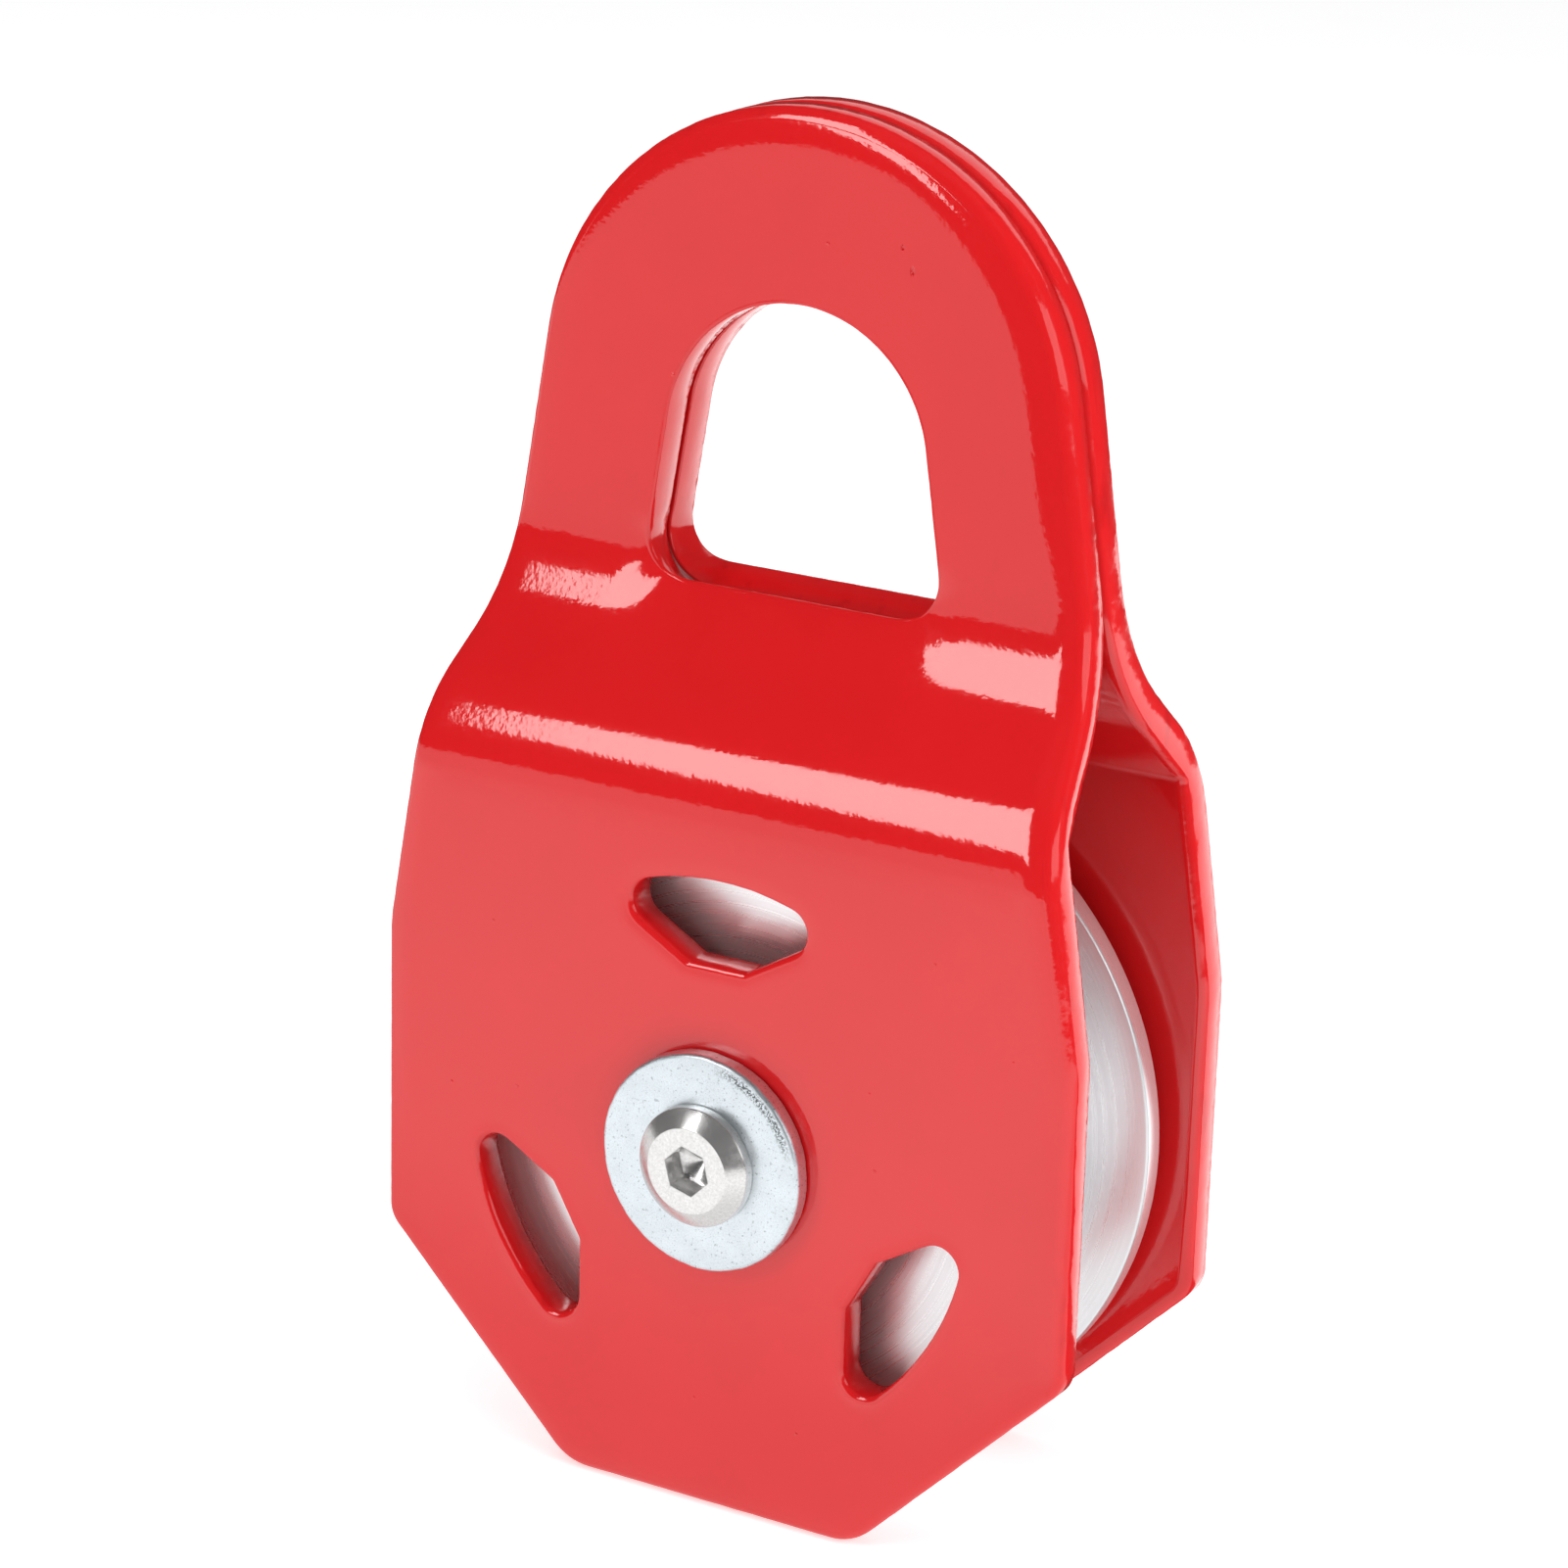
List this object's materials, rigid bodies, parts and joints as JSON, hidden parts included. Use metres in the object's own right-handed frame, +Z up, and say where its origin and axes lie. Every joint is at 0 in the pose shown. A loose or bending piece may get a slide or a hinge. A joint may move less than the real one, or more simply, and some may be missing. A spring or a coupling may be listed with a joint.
{
  "type": "snatch block",
  "caption": "Swing-side snatch block: joggled side plates with a D-shaped shackle eye, grooved aluminium sheave on ball bearings, hollow axle with socket screws and wide washers.",
  "frame": {"origin": "on the floor under the axle, midway between the two side plates, with the block standing on the flat edges at the feet of its plates", "axes": "+Z up through the middle of the shackle eye, Y along the axle with the front plate and the seen screw at -Y, X across the width"},
  "size_m": [0.104, 0.056, 0.186],
  "materials": {
    "red_coat": "gloss powder coat",
    "turned_aluminium": "fine turned",
    "axle_steel": "turned",
    "bright_screw": "bright nickel",
    "zinc": "bright zinc plate",
    "bearing_steel": "ground",
    "cage_brass": "satin",
    "shield_steel": "satin"
  },
  "bodies": {
    "frame": {"back_plate": "red_coat", "axle": "axle_steel", "front_screw": "bright_screw", "back_screw": "bright_screw", "front_washer": "zinc", "back_washer": "zinc", "front_spacer": "axle_steel", "back_spacer": "axle_steel", "bearing_sleeve": "axle_steel", "front_inner_ring": "bearing_steel", "back_inner_ring": "bearing_steel"},
    "front_cheek": {"front_plate": "red_coat"},
    "wheel": {"sheave": "turned_aluminium", "front_outer_ring": "bearing_steel", "back_outer_ring": "bearing_steel", "front_shields": "shield_steel", "back_shields": "shield_steel"},
    "ball_sets": {"front_balls": "bearing_steel", "back_balls": "bearing_steel", "front_cage": "cage_brass", "back_cage": "cage_brass"}
  },
  "joints": [
    {"name": "plate_swing", "type": "hinge", "parent": "frame", "child": "front_cheek", "pos_m": [0, -0.01925, 0.0505], "axis": [0, 1, 0], "continuous": true},
    {"name": "sheave_spin", "type": "hinge", "parent": "frame", "child": "wheel", "pos_m": [0, 0, 0.0505], "axis": [0, 1, 0], "continuous": true},
    {"name": "cage_orbit", "type": "hinge", "parent": "frame", "child": "ball_sets", "pos_m": [0, 0, 0.0505], "axis": [0, 1, 0], "continuous": true}
  ],
  "couplings": [
    {"joint": "cage_orbit", "follows": "sheave_spin", "ratio": 0.5915}
  ]
}
